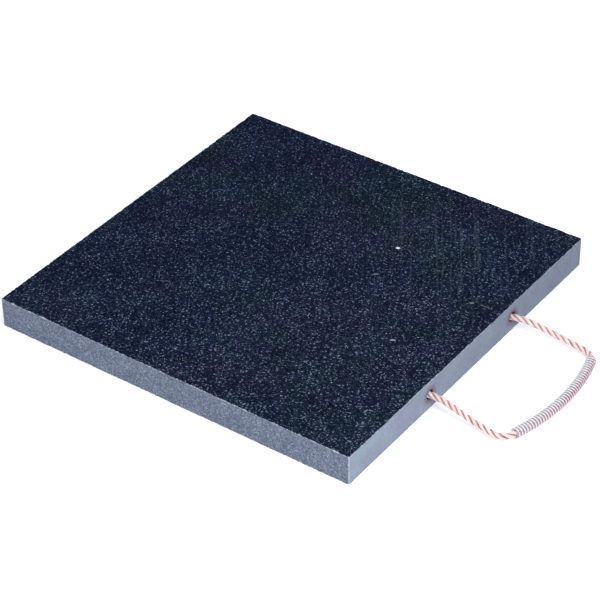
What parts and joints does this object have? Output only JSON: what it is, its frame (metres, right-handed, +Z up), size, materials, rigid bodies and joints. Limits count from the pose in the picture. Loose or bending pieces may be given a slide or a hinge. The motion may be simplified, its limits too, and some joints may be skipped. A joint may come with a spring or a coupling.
{
  "type": "granite slab",
  "caption": "Square dark stone slab with a flat working top and a rope carrying handle, gripped through a clear ribbed hose, on one edge.",
  "frame": {"origin": "centre of the slab's underside, on the surface it stands on", "axes": "+Z up, +X out of the edge face that carries the handle, +Y towards the right-hand hole as seen facing the handle"},
  "size_m": [0.4766, 0.38, 0.03],
  "materials": {
    "stone": "honed black granite with fine pale flecks",
    "rope": "three-strand laid rope, white and salmon yarns",
    "hose": "clear flexible hose with a fine wire spiral in its wall"
  },
  "bodies": {
    "slab": {"slab": "stone", "rope_tail_right": "rope", "rope_tail_left": "rope", "stopper_knot_right": "rope", "stopper_knot_left": "rope"},
    "handle": {"rope_loop": "rope"},
    "grip": {"grip_hose": "hose"}
  },
  "joints": [
    {"name": "handle_swing", "type": "hinge", "parent": "slab", "child": "handle", "pos_m": [0.1935, 0, 0.015], "axis": [0, -1, 0], "range_deg": [0, 90]},
    {"name": "grip_slide", "type": "hinge", "parent": "handle", "child": "grip", "pos_m": [0.0702, 0.0076, 0.0053], "axis": [0, 0, -1], "range_deg": [0, 1.3]}
  ]
}
